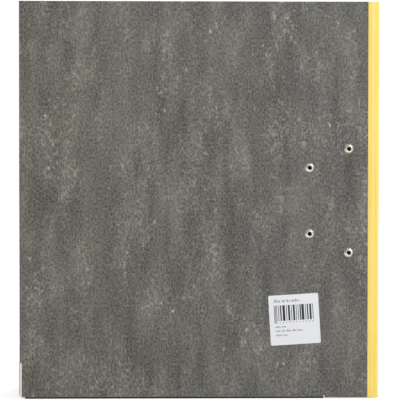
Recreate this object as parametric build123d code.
from build123d import *
import math
import os

# Lever arch file for A4 paper, closed and standing upright on its lower edge.
# Millimetres. The origin is on the ground under the middle of the file, +Z up,
# +X towards the spine, -Y the outside of the back cover, +Y the front cover.
# Inside, the ring mechanism is placed by (u, h, z): u is the distance from the
# spine's inner face, h the height above the base plate, z from the mechanism's middle.

# Closed file
FILE_WIDTH = 288.4
FILE_HEIGHT = 318.0
SPINE_WIDTH = 80.0
MECHANISM_Z = 158.7

# Grey board with paper pasted on both faces, and the soft folds between the boards
BOARD_THICKNESS = 1.6
COVER_PAPER = 0.2
LINING_PAPER = 0.2
LINING_MARGIN = 4.0
CORNER_RADIUS = 3.7
FOLD_RADIUS = 3.9
FOLD_THICKNESS = 0.5
SPINE_PAPER_LAP = 5.2

# Steel edge rail and corner guard on each cover's lower edge
RAIL_SHEET = 0.3
RAIL_FOOT = 0.5
RAIL_LIP = 0.9
RAIL_SPINE_GAP = 44.5
GUARD_LENGTH = 4.5
GUARD_HEIGHT = 28.7
GUARD_LIP = 1.8

# Finger ring in the spine
FINGER_RING_Z = 65.0
FINGER_BORE_RADIUS = 12.5
FINGER_TUBE_WALL = 0.8
FINGER_FLANGE = 4.0
FINGER_FLANGE_HEIGHT = 1.0
FINGER_WASHER_HEIGHT = 0.5

# Paper labels
SPINE_LABEL_WIDTH = 54.0
SPINE_LABEL_HEIGHT = 190.0
SPINE_LABEL_Z = 200.0
STICKER_SIZE = 40.2
STICKER_X = 76.3
STICKER_Z = 63.4
STICKER_TILT = 3.5
LABEL_THICKNESS = 0.1

# Base plate
PLATE_THICKNESS = 1.0
PLATE_NEAR_U = 13.0
PLATE_WIDTH = 56.0
PLATE_LENGTH = 118.0
PLATE_CORNER = 8.0
RIB_HEIGHT = 0.8
RIB_WIDTH = 3.6
RIB_LENGTH = 64.0
RIB_INSET = 4.0

# Hollow rivets through the back cover, two near the spine and two further in
RIVET_SHANK_RADIUS = 1.9
RIVET_BORE_RADIUS = 1.6
RIVET_HEAD_RADIUS = 3.75
RIVET_HEAD_HEIGHT = 0.95
RIVET_MOUTH_ROUND = 0.5
RIVET_END_WALL = 0.5
RIVET_END_RADIUS = 3.2
RIVET_END_HEIGHT = 0.5
RIVET_OUTER_U = 22.5
RIVET_OUTER_SPACING = 83.4
RIVET_INNER_U = 54.0
RIVET_INNER_SPACING = 53.0

# Arch wire: two arches and the crank between them, bent from one round wire
WIRE_RADIUS = 1.9
ARCH_U = 32.0
ARCH_H = 5.0
ARCH_HEADROOM = 9.0
RING_SPACING = 80.0
RING_SPAN = 28.0
ARCH_FOOT_BEND = 4.0
CRANK_HALF_WIDTH = 3.0
CRANK_REACH = 13.0
CRANK_BEND = 3.8

# Bearings that hold the arch wire on the plate
SHEET = 1.2
RUNNING_GAP = 0.06
BEARING_NEAR_Z = 20.0
BEARING_LENGTH = 10.0
BEARING_SEAT_LENGTH = 3.0

# Posts
POST_RADIUS = 2.5
POST_SPIGOT_RADIUS = 1.6
POST_FOOT_RADIUS = 4.6
POST_FOOT_HEIGHT = 1.0
POST_TIP_CHAMFER = 0.5
POST_TIP_GAP = 0.25
ARCH_TIP_LENGTH = 2.0

# Lever with its roller, in the closed position
LEVER_PIVOT_OFFSET_U = 9.5
LEVER_PIVOT_OFFSET_H = 11.0
LEVER_PIN_RADIUS = 1.5
LEVER_HEADROOM = 5.0
LEVER_SPINE_ROOM = 5.3
LEVER_ANGLE = 132.0
ROLLER_ARM = 6.0
ROLLER_ARM_ANGLE = -120.0
ROLLER_RADIUS = 3.5
ROLLER_LENGTH = 13.0
ROLLER_SIDE_GAP = 0.4
AXLE_RADIUS = 1.2
CHEEK_BOSS_RADIUS = 4.2
CHEEK_ROLLER_RADIUS = 3.1
CHEEK_END_RADIUS = 3.0
CHEEK_SHORTFALL = 10.0
BLADE_START = 8.0
THUMB_WIDTH = 24.0
THUMB_LENGTH = 14.0
GRIP_WALL = 1.6
EAR_GAP = 0.5
EAR_FOOT_WIDTH = 11.0
PIN_HEAD_RADIUS = 2.4
PIN_HEAD_HEIGHT = 0.7

# Leaf spring under the crank
SPRING_SHEET = 0.6
SPRING_WIDTH = 8.0
SPRING_RIVET_U = 58.0
SPRING_RIVET_RADIUS = 1.5
SPRING_RIVET_HEAD = 2.8
SPRING_RIVET_HEIGHT = 1.0
SPRING_TAIL = 4.0
SPRING_RAMP_START = 54.0
SPRING_RAMP_END = 46.0
SPRING_TIP_U = 41.0
SPRING_GAP = 0.3

# Compressor bar that slides on the posts
COMPRESSOR_H = 4.0
COMPRESSOR_WIDTH = 14.0
COMPRESSOR_HEIGHT = 4.0
COMPRESSOR_OVERHANG = 12.0
COMPRESSOR_SHEET = 1.0
COMPRESSOR_CORNER = 6.0
GUIDE_BORE_GAP = 0.95
GUIDE_WALL = 1.25
GUIDE_RIM = 1.0
GUIDE_RIM_HEIGHT = 0.6

# Slots in the front cover over the tops of the arches, each lined with an eyelet
SLOT_LENGTH = 40.0
SLOT_WIDTH = 9.0
EYELET_WALL = 0.5
EYELET_FLANGE = 2.2
EYELET_FLANGE_HEIGHT = 0.5

# Rounding of an edge, as a share of the height of its rim, and the roller's bevel
ROUND_SHARE = 0.9
ROLLER_BEVEL = 0.4

# Derived places
WALL = COVER_PAPER + BOARD_THICKNESS + LINING_PAPER
EDGE_X = -FILE_WIDTH / 2
SPINE_X = FILE_WIDTH / 2
SPINE_INNER_X = SPINE_X - WALL
COVER_END_X = SPINE_X - FOLD_RADIUS
COVER_Y = SPINE_WIDTH / 2
SPINE_END_Y = COVER_Y - FOLD_RADIUS
PLATE_TOP_Y = -COVER_Y + WALL + PLATE_THICKNESS
FRONT_H = COVER_Y - WALL - PLATE_TOP_Y
POST_U = ARCH_U + RING_SPAN
ARCH_TOP_H = FRONT_H - ARCH_HEADROOM - WIRE_RADIUS
ARCH_ROUND = RING_SPAN / 2
POST_TOP_H = ARCH_TOP_H - ARCH_ROUND - ARCH_TIP_LENGTH
PIVOT_U = ARCH_U + LEVER_PIVOT_OFFSET_U
PIVOT_H = ARCH_H + LEVER_PIVOT_OFFSET_H
LENGTH_TO_FRONT = FRONT_H - LEVER_HEADROOM - PIVOT_H
LENGTH_TO_SPINE = (LEVER_SPINE_ROOM - PIVOT_U) / math.cos(math.radians(LEVER_ANGLE))
LEVER_LENGTH = min(LENGTH_TO_FRONT, LENGTH_TO_SPINE)
CHEEK_INNER_Z = ROLLER_LENGTH / 2 + ROLLER_SIDE_GAP
CHEEK_OUTER_Z = CHEEK_INNER_Z + SHEET
EAR_INNER_Z = CHEEK_OUTER_Z + EAR_GAP
EAR_OUTER_Z = EAR_INNER_Z + SHEET
ROLLER_U = PIVOT_U + ROLLER_ARM * math.cos(math.radians(ROLLER_ARM_ANGLE))
ROLLER_H = PIVOT_H + ROLLER_ARM * math.sin(math.radians(ROLLER_ARM_ANGLE))
GUIDE_BORE_RADIUS = POST_RADIUS + GUIDE_BORE_GAP
GUIDE_RADIUS = GUIDE_BORE_RADIUS + GUIDE_WALL
BACK = -1
FRONT = 1


# Placing helpers

def block(x0, x1, y0, y1, z0, z1):
    """Box between two opposite corners."""
    middle = ((x0 + x1) / 2, (y0 + y1) / 2, (z0 + z1) / 2)
    return Pos(*middle) * Box(abs(x1 - x0), abs(y1 - y0), abs(z1 - z0))


def spot(u, h, z=0.0):
    """Point of the mechanism, in the file's frame."""
    return Vector(SPINE_INNER_X - u, PLATE_TOP_Y + h, MECHANISM_Z + z)


def plate_block(u0, u1, h0, h1, z0, z1):
    """Box of the mechanism between two opposite corners."""
    low = spot(u0, h0, z0)
    high = spot(u1, h1, z1)
    return block(low.X, high.X, low.Y, high.Y, low.Z, high.Z)


def prism(points, z0, z1):
    """Solid between z0 and z1 with a straight-sided (u, h) outline."""
    outline = Polyline(*[spot(u, h, z0) for u, h in points], close=True)
    return extrude(make_face(outline), z1 - z0, dir=(0, 0, 1))


def round_bar(u, h, radius, z0, z1):
    """Round bar along Z."""
    return Pos(spot(u, h, (z0 + z1) / 2)) * Cylinder(radius, z1 - z0)


def upright(u, z, radius, h0, h1):
    """Round bar that stands on the plate, along +Y."""
    return Pos(spot(u, (h0 + h1) / 2, z)) * Rot(90, 0, 0) * Cylinder(radius, h1 - h0)


def link(u0, h0, radius0, u1, h1, radius1, z0, z1):
    """Flat link between two round ends."""
    turn = math.atan2(h1 - h0, u1 - u0)
    lean = math.acos((radius0 - radius1) / math.hypot(u1 - u0, h1 - h0))
    sides = []
    for u, h, radius, angle in (
        (u0, h0, radius0, turn - lean),
        (u1, h1, radius1, turn - lean),
        (u1, h1, radius1, turn + lean),
        (u0, h0, radius0, turn + lean),
    ):
        sides.append((u + radius * math.cos(angle), h + radius * math.sin(angle)))
    ends = round_bar(u0, h0, radius0, z0, z1) + round_bar(u1, h1, radius1, z0, z1)
    return prism(sides, z0, z1) + ends


def along_lever(distance, offset=0.0):
    """(u, h) at a distance along the lever, offset towards the posts."""
    angle = math.radians(LEVER_ANGLE)
    u = PIVOT_U + distance * math.cos(angle) + offset * math.sin(angle)
    h = PIVOT_H + distance * math.sin(angle) - offset * math.cos(angle)
    return u, h


def lever_block(distance0, distance1, offset0, offset1, half_width):
    """Box that lies along the lever."""
    corners = [
        along_lever(distance0, offset0),
        along_lever(distance1, offset0),
        along_lever(distance1, offset1),
        along_lever(distance0, offset1),
    ]
    return prism(corners, -half_width, half_width)


# Covers: board, papers, folds and steel edges

def cover_layer(side, depth0, depth1, inset=0.0):
    """Flat layer of a cover between two depths from its outer face, set in from its free edges."""
    y0 = side * (COVER_Y - depth0)
    y1 = side * (COVER_Y - depth1)
    layer = block(EDGE_X + inset, COVER_END_X, y0, y1, RAIL_FOOT + inset, FILE_HEIGHT - inset)
    radius = CORNER_RADIUS - inset
    if radius > 0:
        corner = layer.edges().filter_by(Axis.Y).group_by(Axis.Z)[0].sort_by(Axis.X)[0]
        layer = fillet(corner, radius)
    return layer


def covering_paper(side):
    """Paper pasted over the board and turned in round its free edges, up to the lining."""
    paper = cover_layer(side, 0, WALL) - cover_board(side) - cover_lining(side)
    return paper - cover_cuts(side)


def rivet_places():
    """(u, z) of the four rivets, from the top down."""
    places = []
    for u, spacing in ((RIVET_OUTER_U, RIVET_OUTER_SPACING), (RIVET_INNER_U, RIVET_INNER_SPACING)):
        places += [(u, spacing / 2), (u, -spacing / 2)]
    return places


def rivet_holes():
    """Holes for the rivets through the cover and the plate."""
    depth = WALL + PLATE_THICKNESS
    holes = [upright(u, z, RIVET_SHANK_RADIUS, -depth - 1, 1) for u, z in rivet_places()]
    return Part() + holes


def slot(clearance, h0, h1):
    """Long hole over the top of each arch, along X."""
    cutters = []
    for z in (-RING_SPACING / 2, RING_SPACING / 2):
        outline = SlotOverall(SLOT_LENGTH + 2 * clearance, SLOT_WIDTH + 2 * clearance)
        place = Pos(spot(ARCH_U + RING_SPAN / 2, h0, z)) * Rot(-90, 0, 0)
        cutters.append(extrude(place * outline, h1 - h0, dir=(0, 1, 0)))
    return cutters


def cover_cuts(side):
    """Rivet holes of the back cover, arch slots of the front cover."""
    if side == BACK:
        return rivet_holes()
    return Part() + slot(EYELET_WALL, FRONT_H - 1, FRONT_H + WALL + 1)


def cover_board(side):
    board = cover_layer(side, COVER_PAPER, COVER_PAPER + BOARD_THICKNESS, COVER_PAPER)
    return board - cover_cuts(side)


def cover_lining(side):
    """Thin paper inside the cover, short of its three free edges."""
    return cover_layer(side, WALL - LINING_PAPER, WALL, LINING_MARGIN) - cover_cuts(side)


def spine_side():
    """Everything on the spine's side of the edge of the marbled paper."""
    x0 = COVER_END_X - SPINE_PAPER_LAP
    return block(x0, SPINE_X, -SPINE_WIDTH, SPINE_WIDTH, 0, FILE_HEIGHT + 1)


def marble_paper(side):
    return covering_paper(side) - spine_side()


def spine_paper_lap(side):
    return covering_paper(side) & spine_side()


def edge_rail(side):
    """Steel channel that wraps the lower edge of a cover."""
    outer = side * (COVER_Y + RAIL_SHEET)
    inner = side * (COVER_Y - WALL - RAIL_SHEET)
    x0 = EDGE_X + GUARD_LENGTH
    x1 = SPINE_X - RAIL_SPINE_GAP
    rail = block(x0, x1, outer, inner, 0, RAIL_FOOT + RAIL_LIP)
    return rail - block(x0, x1, side * COVER_Y, side * (COVER_Y - WALL), RAIL_FOOT, FILE_HEIGHT)


def corner_guard(side):
    """Steel channel around the lower free corner of a cover."""
    outer = side * (COVER_Y + RAIL_SHEET)
    inner = side * (COVER_Y - WALL - RAIL_SHEET)
    x0 = EDGE_X - RAIL_SHEET
    x1 = EDGE_X + GUARD_LENGTH
    guard = block(x0, x1, outer, inner, 0, GUARD_HEIGHT)
    bend = CORNER_RADIUS + RAIL_SHEET
    guard = fillet(guard.edges().filter_by(Axis.Y).group_by(Axis.Z)[0].sort_by(Axis.X)[0], bend)
    guard -= cover_layer(side, 0, WALL)
    return guard - block(EDGE_X + GUARD_LIP, x1, outer, inner, RAIL_FOOT + RAIL_LIP, GUARD_HEIGHT)


def fold(side):
    """Quarter-round strip of covering paper between a cover and the spine."""
    height = FILE_HEIGHT - RAIL_FOOT
    bend = Cylinder(FOLD_RADIUS, height) - Cylinder(FOLD_RADIUS - FOLD_THICKNESS, height)
    centre = (COVER_END_X, side * SPINE_END_Y, RAIL_FOOT + height / 2)
    reach = FOLD_RADIUS
    quarter = block(centre[0], centre[0] + reach, centre[1], centre[1] + side * reach, 0, FILE_HEIGHT)
    return (Pos(*centre) * bend) & quarter


def eyelet(z):
    """Pressed steel lining of one arch slot."""
    top = FRONT_H + WALL
    place = Pos(spot(ARCH_U + RING_SPAN / 2, 0, z)) * Rot(-90, 0, 0)
    bore = place * SlotOverall(SLOT_LENGTH, SLOT_WIDTH)
    tube = place * SlotOverall(SLOT_LENGTH + 2 * EYELET_WALL, SLOT_WIDTH + 2 * EYELET_WALL)
    rim = place * SlotOverall(SLOT_LENGTH + 2 * EYELET_FLANGE, SLOT_WIDTH + 2 * EYELET_FLANGE)
    lining = extrude(Pos(0, FRONT_H, 0) * tube, WALL, dir=(0, 1, 0))
    flange = extrude(Pos(0, top, 0) * rim, EYELET_FLANGE_HEIGHT, dir=(0, 1, 0))
    flange = chamfer(flange.faces().sort_by(Axis.Y)[-1].edges(), EYELET_FLANGE_HEIGHT * ROUND_SHARE)
    return lining + flange - extrude(bore, FRONT_H + 2 * WALL, dir=(0, 1, 0))


# Spine

def along_x(radius, x0, x1, z):
    """Round bar across the spine, along X."""
    return Pos((x0 + x1) / 2, 0, z) * Rot(0, 90, 0) * Cylinder(radius, x1 - x0)


def spine_layer(depth0, depth1, inset=0.0):
    """Flat layer of the spine between two depths from its outer face, set in at both ends."""
    low = RAIL_FOOT + inset
    layer = block(SPINE_X - depth0, SPINE_X - depth1, -SPINE_END_Y, SPINE_END_Y, low, FILE_HEIGHT - inset)
    tube_radius = FINGER_BORE_RADIUS + FINGER_TUBE_WALL
    return layer - along_x(tube_radius, SPINE_X - 2 * WALL, SPINE_X + 1, FINGER_RING_Z)


def spine_board():
    return spine_layer(COVER_PAPER, COVER_PAPER + BOARD_THICKNESS, COVER_PAPER)


def spine_lining():
    return spine_layer(WALL - LINING_PAPER, WALL, LINING_MARGIN)


def spine_cover():
    """Paper pasted over the spine board and turned in at both ends."""
    return spine_layer(0, WALL) - spine_board() - spine_lining()


def spine_label():
    """Plain paper label pasted on the spine above the finger ring."""
    half_width = SPINE_LABEL_WIDTH / 2
    half_height = SPINE_LABEL_HEIGHT / 2
    low = SPINE_LABEL_Z - half_height
    high = SPINE_LABEL_Z + half_height
    return block(SPINE_X, SPINE_X + LABEL_THICKNESS, -half_width, half_width, low, high)


def finger_ring():
    """Rolled steel ring: outer flange and the tube through the spine board."""
    tube_radius = FINGER_BORE_RADIUS + FINGER_TUBE_WALL
    flange = along_x(tube_radius + FINGER_FLANGE, SPINE_X, SPINE_X + FINGER_FLANGE_HEIGHT, FINGER_RING_Z)
    flange = fillet(flange.faces().sort_by(Axis.X)[-1].edges(), FINGER_FLANGE_HEIGHT * ROUND_SHARE)
    tube = along_x(tube_radius, SPINE_INNER_X, SPINE_X, FINGER_RING_Z)
    through = SPINE_X + FINGER_FLANGE_HEIGHT + 1
    return flange + tube - along_x(FINGER_BORE_RADIUS, SPINE_INNER_X - 1, through, FINGER_RING_Z)


def finger_ring_washer():
    """Flat ring that clenches the finger ring inside the spine."""
    tube_radius = FINGER_BORE_RADIUS + FINGER_TUBE_WALL
    x0 = SPINE_INNER_X - FINGER_WASHER_HEIGHT
    disc = along_x(tube_radius + FINGER_FLANGE, x0, SPINE_INNER_X, FINGER_RING_Z)
    return disc - along_x(FINGER_BORE_RADIUS, x0 - 1, SPINE_INNER_X + 1, FINGER_RING_Z)


def sticker():
    """Small square paper label on the back cover, pasted slightly askew."""
    centre = (STICKER_X, -COVER_Y - LABEL_THICKNESS / 2, STICKER_Z)
    return Pos(*centre) * Rot(0, -STICKER_TILT, 0) * Box(STICKER_SIZE, LABEL_THICKNESS, STICKER_SIZE)


# Mechanism fixed to the back cover

def rivet(u, z):
    """Hollow rivet: domed head outside, hollow shank, and a closed end spread on the plate."""
    head_h = -PLATE_THICKNESS - WALL
    shank = upright(u, z, RIVET_SHANK_RADIUS, head_h, 0)
    head = upright(u, z, RIVET_HEAD_RADIUS, head_h - RIVET_HEAD_HEIGHT, head_h)
    head = fillet(head.faces().sort_by(Axis.Y)[0].edges(), RIVET_HEAD_HEIGHT * ROUND_SHARE)
    rim = upright(u, z, RIVET_END_RADIUS, 0, RIVET_END_HEIGHT)
    rim = fillet(rim.faces().sort_by(Axis.Y)[-1].edges(), RIVET_END_HEIGHT * ROUND_SHARE)
    bore_end = RIVET_END_HEIGHT - RIVET_END_WALL
    body = shank + head + rim - upright(u, z, RIVET_BORE_RADIUS, head_h - RIVET_HEAD_HEIGHT - 1, bore_end)
    mouth = body.edges().filter_by(GeomType.CIRCLE).group_by(Axis.Y)[0].sort_by(SortBy.RADIUS)[0]
    return fillet(mouth, RIVET_MOUTH_ROUND)


def plate_rib(u):
    """Long stamped rib with round ends."""
    half = RIB_LENGTH / 2
    rib = plate_block(u - RIB_WIDTH / 2, u + RIB_WIDTH / 2, 0, RIB_HEIGHT, -half, half)
    for z in (-half, half):
        rib += upright(u, z, RIB_WIDTH / 2, 0, RIB_HEIGHT)
    return chamfer(rib.faces().sort_by(Axis.Y)[-1].edges(), RIB_HEIGHT / 2)


def bearing(z0):
    """Strap over the arch wire with a narrow seat under it."""
    bore = WIRE_RADIUS + RUNNING_GAP
    outer = bore + SHEET
    z1 = z0 + BEARING_LENGTH
    seat_z0 = z0 + (BEARING_LENGTH - BEARING_SEAT_LENGTH) / 2
    strap = plate_block(ARCH_U - outer, ARCH_U + outer, 0, ARCH_H, z0, z1)
    strap += round_bar(ARCH_U, ARCH_H, outer, z0, z1)
    strap -= plate_block(ARCH_U - bore, ARCH_U + bore, -1, ARCH_H, z0 - 1, z1 + 1)
    seat_z1 = seat_z0 + BEARING_SEAT_LENGTH
    strap += plate_block(ARCH_U - bore, ARCH_U + bore, 0, ARCH_H - SHEET, seat_z0, seat_z1)
    return strap - round_bar(ARCH_U, ARCH_H, bore, z0 - 1, z1 + 1)


def ear(z0):
    """Upright ear of the plate that carries one end of the lever's pin."""
    half = EAR_FOOT_WIDTH / 2
    plate = link(PIVOT_U, 0, half, PIVOT_U, PIVOT_H, CHEEK_BOSS_RADIUS, z0, z0 + SHEET)
    plate -= plate_block(PIVOT_U - 2 * half, PIVOT_U + 2 * half, -2 * half, 0, z0 - 1, z0 + SHEET + 1)
    return plate - round_bar(PIVOT_U, PIVOT_H, LEVER_PIN_RADIUS, z0 - 1, z0 + SHEET + 1)


def base_plate():
    """Stamped steel plate with ribs, wire bearings and lever ears."""
    half = PLATE_LENGTH / 2
    far_u = PLATE_NEAR_U + PLATE_WIDTH
    plate = plate_block(PLATE_NEAR_U, far_u, -PLATE_THICKNESS, 0, -half, half)
    plate = fillet(plate.edges().filter_by(Axis.Y), PLATE_CORNER)
    plate += plate_rib(PLATE_NEAR_U + RIB_INSET)
    plate += plate_rib(far_u - RIB_INSET)
    for z0 in (BEARING_NEAR_Z, -BEARING_NEAR_Z - BEARING_LENGTH):
        plate += bearing(z0)
    for z0 in (EAR_INNER_Z, -EAR_OUTER_Z):
        plate += ear(z0)
    for z in (-RING_SPACING / 2, RING_SPACING / 2):
        plate -= upright(POST_U, z, POST_SPIGOT_RADIUS, -PLATE_THICKNESS - 1, 1)
    plate -= upright(SPRING_RIVET_U, 0, SPRING_RIVET_RADIUS, -PLATE_THICKNESS - 1, 1)
    return plate - rivet_holes()


def post(z):
    """Post that carries the paper, riveted into the plate by its spigot."""
    stem = upright(POST_U, z, POST_RADIUS, 0, POST_TOP_H)
    stem = chamfer(stem.faces().sort_by(Axis.Y)[-1].edges(), POST_TIP_CHAMFER)
    foot = upright(POST_U, z, POST_FOOT_RADIUS, 0, POST_FOOT_HEIGHT)
    spigot = upright(POST_U, z, POST_SPIGOT_RADIUS, -PLATE_THICKNESS, 0)
    return stem + foot + spigot


def lever_pin():
    """Pin through both ears, riveted over at its ends."""
    pin = round_bar(PIVOT_U, PIVOT_H, LEVER_PIN_RADIUS, -EAR_OUTER_Z, EAR_OUTER_Z)
    pin += round_bar(PIVOT_U, PIVOT_H, PIN_HEAD_RADIUS, EAR_OUTER_Z, EAR_OUTER_Z + PIN_HEAD_HEIGHT)
    return pin + round_bar(PIVOT_U, PIVOT_H, PIN_HEAD_RADIUS, -EAR_OUTER_Z - PIN_HEAD_HEIGHT, -EAR_OUTER_Z)


def leaf_spring():
    """Strip of spring steel that pushes the crank up."""
    tip_h = ARCH_H - WIRE_RADIUS - SPRING_GAP - SPRING_SHEET
    under = [
        (SPRING_RIVET_U + SPRING_TAIL, 0),
        (SPRING_RAMP_START, 0),
        (SPRING_RAMP_END, tip_h),
        (SPRING_TIP_U, tip_h),
    ]
    over = [(u, h + SPRING_SHEET) for u, h in reversed(under)]
    strip = prism(under + over, -SPRING_WIDTH / 2, SPRING_WIDTH / 2)
    return strip - upright(SPRING_RIVET_U, 0, SPRING_RIVET_RADIUS, -1, SPRING_SHEET + 1)


def spring_rivet():
    """Solid rivet that holds the leaf spring on the plate."""
    shank = upright(SPRING_RIVET_U, 0, SPRING_RIVET_RADIUS, -PLATE_THICKNESS, SPRING_SHEET)
    top = SPRING_SHEET + SPRING_RIVET_HEIGHT
    head = upright(SPRING_RIVET_U, 0, SPRING_RIVET_HEAD, SPRING_SHEET, top)
    return shank + fillet(head.faces().sort_by(Axis.Y)[-1].edges(), SPRING_RIVET_HEIGHT * ROUND_SHARE)


# Moving parts

def rounded_path(points, radii):
    """Straight runs joined by a round bend at every inner point."""
    edges = []
    start = points[0]
    for before, corner, after, radius in zip(points, points[1:], points[2:], radii):
        back = (before - corner).normalized()
        ahead = (after - corner).normalized()
        half_angle = math.radians(back.get_angle(ahead) / 2)
        reach = radius / math.tan(half_angle)
        inward = (back + ahead).normalized()
        middle = corner + inward * (radius / math.sin(half_angle) - radius)
        bend_start = corner + back * reach
        bend_end = corner + ahead * reach
        if (bend_start - start).length > 0.001:
            edges.append(Line(start, bend_start))
        edges.append(ThreePointArc(bend_start, middle, bend_end))
        start = bend_end
    edges.append(Line(start, points[-1]))
    return Wire(edges)


def arch_wire():
    """Both arches and the crank between them."""
    half = RING_SPACING / 2
    side = [
        (POST_U, POST_TOP_H + POST_TIP_GAP, half),
        (POST_U, ARCH_TOP_H, half),
        (ARCH_U, ARCH_TOP_H, half),
        (ARCH_U, ARCH_H, half),
        (ARCH_U, ARCH_H, CRANK_HALF_WIDTH),
        (ARCH_U + CRANK_REACH, ARCH_H, CRANK_HALF_WIDTH),
    ]
    other_side = [(u, h, -z) for u, h, z in reversed(side)]
    points = [spot(*place) for place in side + other_side]
    bends = [ARCH_ROUND, ARCH_ROUND, ARCH_FOOT_BEND, CRANK_BEND, CRANK_HALF_WIDTH]
    path = rounded_path(points, bends + bends[::-1])
    section = Plane(origin=points[0], z_dir=(0, 1, 0)) * Circle(WIRE_RADIUS)
    return sweep(section, path=path)


def lever():
    """Folded steel lever: two cheeks, the blade that joins them and the thumb end."""
    end_u, end_h = along_lever(LEVER_LENGTH - THUMB_LENGTH - CHEEK_SHORTFALL)
    body = lever_block(BLADE_START, LEVER_LENGTH, CHEEK_END_RADIUS - SHEET, CHEEK_END_RADIUS, CHEEK_OUTER_Z)
    thumb_start = LEVER_LENGTH - THUMB_LENGTH
    body += lever_thumb(thumb_start)
    for z0 in (CHEEK_INNER_Z, -CHEEK_OUTER_Z):
        z1 = z0 + SHEET
        body += link(PIVOT_U, PIVOT_H, CHEEK_BOSS_RADIUS, end_u, end_h, CHEEK_END_RADIUS, z0, z1)
        body += link(PIVOT_U, PIVOT_H, CHEEK_BOSS_RADIUS, ROLLER_U, ROLLER_H, CHEEK_ROLLER_RADIUS, z0, z1)
    body -= round_bar(PIVOT_U, PIVOT_H, LEVER_PIN_RADIUS + RUNNING_GAP, -EAR_INNER_Z, EAR_INNER_Z)
    return body - round_bar(ROLLER_U, ROLLER_H, AXLE_RADIUS, -EAR_INNER_Z, EAR_INNER_Z)


def lever_thumb(start):
    """Wide end of the blade, under the grip."""
    return lever_block(start, LEVER_LENGTH, CHEEK_END_RADIUS - SHEET, CHEEK_END_RADIUS, THUMB_WIDTH / 2)


def lever_grip():
    """Moulded cap pushed over the thumb end."""
    start = LEVER_LENGTH - THUMB_LENGTH
    low = CHEEK_END_RADIUS - SHEET - GRIP_WALL
    high = CHEEK_END_RADIUS + GRIP_WALL
    cap = lever_block(start, LEVER_LENGTH + GRIP_WALL, low, high, THUMB_WIDTH / 2 + GRIP_WALL)
    cap = fillet(cap.edges(), GRIP_WALL * ROUND_SHARE)
    return cap - lever_thumb(start)


def roller_axle():
    return round_bar(ROLLER_U, ROLLER_H, AXLE_RADIUS, -CHEEK_OUTER_Z, CHEEK_OUTER_Z)


def roller():
    """Plain roller that presses on the crank."""
    half = ROLLER_LENGTH / 2
    body = round_bar(ROLLER_U, ROLLER_H, ROLLER_RADIUS, -half, half)
    body = chamfer(body.edges(), ROLLER_BEVEL)
    return body - round_bar(ROLLER_U, ROLLER_H, AXLE_RADIUS + RUNNING_GAP, -half - 1, half + 1)


def compressor_bar():
    """Pressed steel channel that holds the paper down."""
    half = RING_SPACING / 2 + COMPRESSOR_OVERHANG
    half_width = COMPRESSOR_WIDTH / 2
    top = COMPRESSOR_H + COMPRESSOR_HEIGHT
    body = plate_block(POST_U - half_width, POST_U + half_width, COMPRESSOR_H, top, -half, half)
    body = fillet(body.edges().filter_by(Axis.Y), COMPRESSOR_CORNER)
    wall = COMPRESSOR_SHEET
    inner = half_width - wall
    hollow = plate_block(POST_U - inner, POST_U + inner, COMPRESSOR_H, top - wall, wall - half, half - wall)
    body -= fillet(hollow.edges().filter_by(Axis.Y), COMPRESSOR_CORNER - wall)
    for z in (-RING_SPACING / 2, RING_SPACING / 2):
        body -= upright(POST_U, z, GUIDE_RADIUS, COMPRESSOR_H, top + 1)
    return body


def compressor_guide(z):
    """Moulded guide that lines one hole of the compressor bar."""
    top = COMPRESSOR_H + COMPRESSOR_HEIGHT
    body = upright(POST_U, z, GUIDE_RADIUS, COMPRESSOR_H, top)
    body += upright(POST_U, z, GUIDE_RADIUS + GUIDE_RIM, top, top + GUIDE_RIM_HEIGHT)
    return body - upright(POST_U, z, GUIDE_BORE_RADIUS, COMPRESSOR_H - 1, top + 2)


os.makedirs("parts", exist_ok=True)

for side, cover, fold_name in ((BACK, "back", "rear_fold"), (FRONT, "front", "front_fold")):
    export_step(cover_board(side), f"parts/{cover}_board.step")
    export_step(marble_paper(side), f"parts/{cover}_marble_paper.step")
    export_step(spine_paper_lap(side), f"parts/{cover}_spine_paper_lap.step")
    export_step(cover_lining(side), f"parts/{cover}_lining.step")
    export_step(edge_rail(side), f"parts/{cover}_edge_rail.step")
    export_step(corner_guard(side), f"parts/{cover}_corner_guard.step")
    export_step(fold(side), f"parts/{fold_name}.step")

export_step(spine_board(), "parts/spine_board.step")
export_step(spine_cover(), "parts/spine_cover.step")
export_step(spine_lining(), "parts/spine_lining.step")
export_step(spine_label(), "parts/spine_label.step")
export_step(finger_ring(), "parts/finger_ring.step")
export_step(finger_ring_washer(), "parts/finger_ring_washer.step")
export_step(sticker(), "parts/barcode_sticker.step")

for number, (u, z) in enumerate(rivet_places(), start=1):
    export_step(rivet(u, z), f"parts/hollow_rivet_{number}.step")

export_step(base_plate(), "parts/base_plate.step")
export_step(leaf_spring(), "parts/leaf_spring.step")
export_step(spring_rivet(), "parts/spring_rivet.step")
export_step(lever_pin(), "parts/lever_pin.step")
export_step(arch_wire(), "parts/arch_wire.step")
export_step(lever(), "parts/lever.step")
export_step(lever_grip(), "parts/lever_grip.step")
export_step(roller_axle(), "parts/roller_axle.step")
export_step(roller(), "parts/roller.step")
export_step(compressor_bar(), "parts/compressor_bar.step")

for name, z in (("lower", -RING_SPACING / 2), ("upper", RING_SPACING / 2)):
    export_step(post(z), f"parts/{name}_post.step")
    export_step(compressor_guide(z), f"parts/{name}_compressor_guide.step")
    export_step(eyelet(z), f"parts/{name}_slot_eyelet.step")
